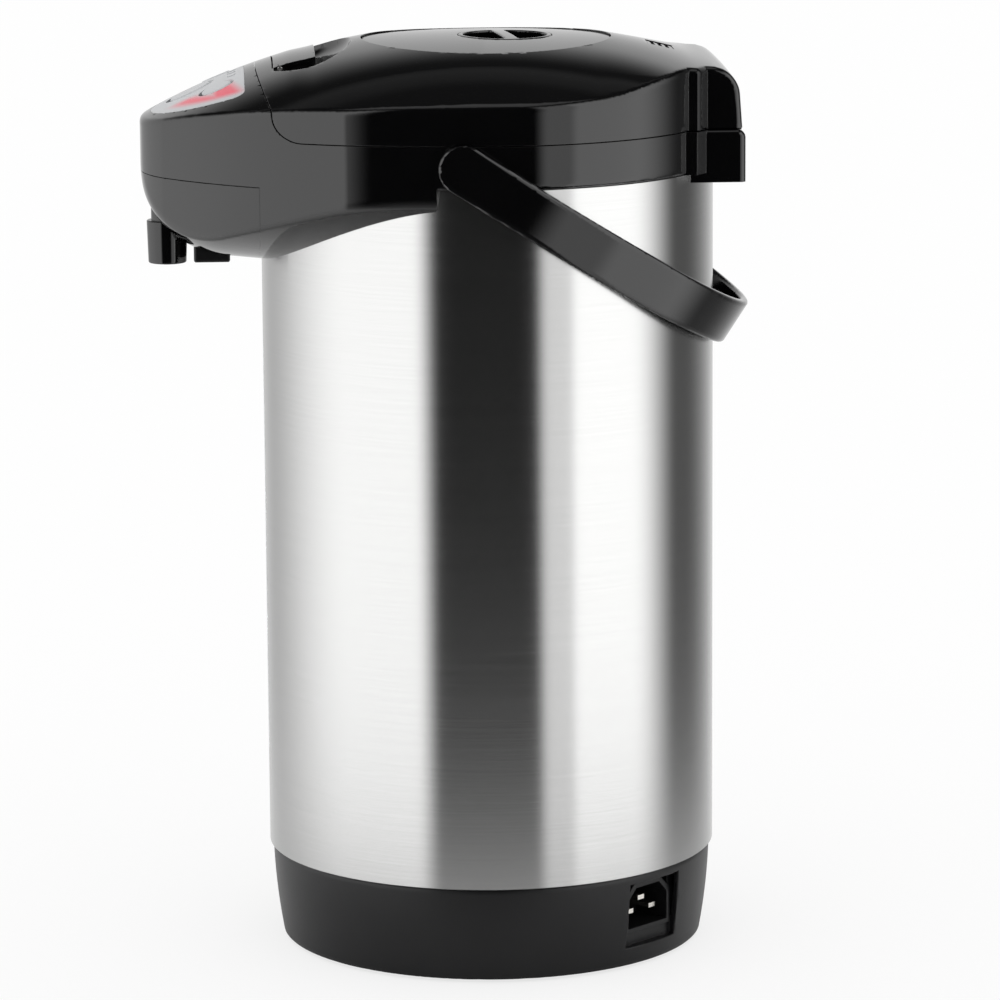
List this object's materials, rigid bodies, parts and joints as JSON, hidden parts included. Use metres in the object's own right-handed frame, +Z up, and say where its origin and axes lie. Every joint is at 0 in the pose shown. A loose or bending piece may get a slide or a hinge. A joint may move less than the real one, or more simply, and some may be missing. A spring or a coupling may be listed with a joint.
{
  "type": "electric thermo pot",
  "caption": "Tall steel electric hot-water pot with a hinged lid, hand pump plate, pouring hood with nozzle, swinging strap handle and mains inlet.",
  "frame": {"origin": "on the body axis, on the plane of the feet it stands on", "axes": "+Z up the body axis; -Y towards the pouring hood; +Y towards the lid hinge; +X towards the side with the mains inlet"},
  "size_m": [0.2068, 0.2557, 0.3858],
  "materials": {
    "brushed_shell": "brushed",
    "inner_steel": "satin",
    "gloss_black": "gloss",
    "satin_black": "satin",
    "clear_plastic": "clear",
    "panel_film": "satin",
    "red_plastic": "gloss",
    "black_rubber": "matte",
    "aluminium_plate": "cast",
    "brass_pins": "plated",
    "board_green": "satin"
  },
  "bodies": {
    "pot": {"outer_shell": "brushed_shell", "level_window": "clear_plastic", "level_tube": "clear_plastic", "inner_pot": "inner_steel", "heater_plate": "aluminium_plate", "thermostats": "satin_black", "base_housing": "satin_black", "base_cover": "satin_black", "base_screws": "inner_steel", "rubber_feet": "black_rubber", "inlet_housing": "satin_black", "inlet_pins": "brass_pins", "power_board": "board_green", "pump_housing": "satin_black", "pump_motor": "aluminium_plate", "suction_tube": "clear_plastic", "pressure_tube": "clear_plastic", "outlet_tube": "clear_plastic", "head_housing": "gloss_black", "spout_cover": "gloss_black", "nozzle": "gloss_black", "nozzle_guard": "satin_black", "control_board": "board_green", "control_film": "panel_film", "indicator_lenses": "red_plastic", "hinge_pin": "inner_steel", "handle_pins": "gloss_black"},
    "lid": {"lid_shell": "gloss_black", "lid_liner": "satin_black", "lid_gasket": "black_rubber", "lid_screws": "inner_steel", "steam_vent": "gloss_black", "pump_bellows": "black_rubber", "return_spring": "inner_steel", "latch_pin": "inner_steel"},
    "pump_plate": {"press_plate": "gloss_black"},
    "knob": {"lock_knob": "gloss_black"},
    "latch": {"latch_lever": "gloss_black", "latch_hook": "gloss_black"},
    "carry_handle": {"handle": "gloss_black"},
    "pour_key": {"pour_button": "red_plastic"},
    "boil_key": {"boil_button": "panel_film"},
    "unlock_key": {"unlock_button": "panel_film"}
  },
  "joints": [
    {"name": "lid_hinge", "type": "hinge", "parent": "pot", "child": "lid", "pos_m": [0, 0.0995, 0.3422], "axis": [-1, 0, 0], "range_deg": [0, 90]},
    {"name": "pump_push", "type": "slide", "parent": "lid", "child": "pump_plate", "axis": [0, 0, -1], "range_m": [0, 0.012], "stiffness_N_per_m": 500, "springref_m": -0.012, "deforming": ["pump_bellows", "return_spring"]},
    {"name": "knob_turn", "type": "hinge", "parent": "pump_plate", "child": "knob", "pos_m": [0, 0.008, 0.38], "axis": [0, 0, 1], "range_deg": [0, 90]},
    {"name": "latch_lift", "type": "hinge", "parent": "lid", "child": "latch", "pos_m": [0, -0.0865, 0.3748], "axis": [1, 0, 0], "range_deg": [0, 30], "stiffness_Nm_per_rad": 0.06, "springref_deg": -28.65},
    {"name": "handle_swing", "type": "hinge", "parent": "pot", "child": "carry_handle", "pos_m": [0, -0.0147, 0.3416], "axis": [-1, 0, 0], "range_deg": [-200, 0]},
    {"name": "pour_press", "type": "slide", "parent": "pot", "child": "pour_key", "axis": [0, 0.3746, -0.9272], "range_m": [0, 0.0008], "stiffness_N_per_m": 800, "springref_m": -0.001},
    {"name": "boil_press", "type": "slide", "parent": "pot", "child": "boil_key", "axis": [0, 0.3746, -0.9272], "range_m": [0, 0.0008], "stiffness_N_per_m": 800, "springref_m": -0.001},
    {"name": "unlock_press", "type": "slide", "parent": "pot", "child": "unlock_key", "axis": [0, 0.3746, -0.9272], "range_m": [0, 0.0008], "stiffness_N_per_m": 800, "springref_m": -0.001}
  ]
}
